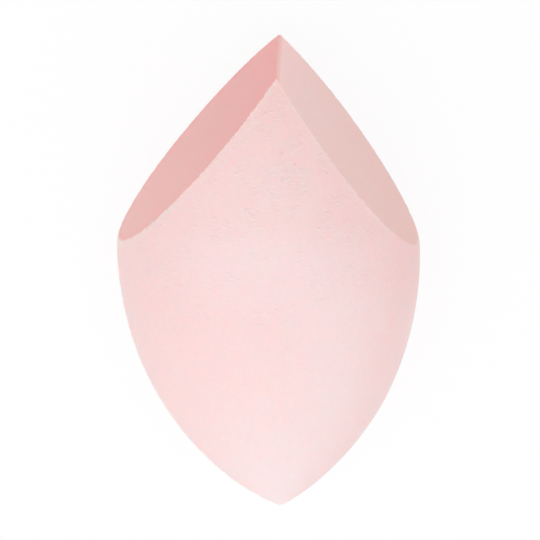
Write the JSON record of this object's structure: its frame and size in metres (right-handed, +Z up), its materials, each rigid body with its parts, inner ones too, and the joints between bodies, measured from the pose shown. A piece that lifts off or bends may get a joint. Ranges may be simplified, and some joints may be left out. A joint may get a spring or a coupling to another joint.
{
  "type": "makeup sponge",
  "caption": "Drop-shaped foam sponge for blending makeup, with a pointed tip at one end and flat cut faces that meet in a ridge at the other, lying on its side.",
  "frame": {"origin": "centre of the small flat on the belly that the sponge settles on", "axes": "+Z up, +Y from the pointed tip towards the ridge, +X towards the right cut face"},
  "size_m": [0.041, 0.0657, 0.041],
  "materials": {
    "foam": "matte"
  },
  "bodies": {
    "root": {"sponge_body": "foam"}
  },
  "joints": []
}
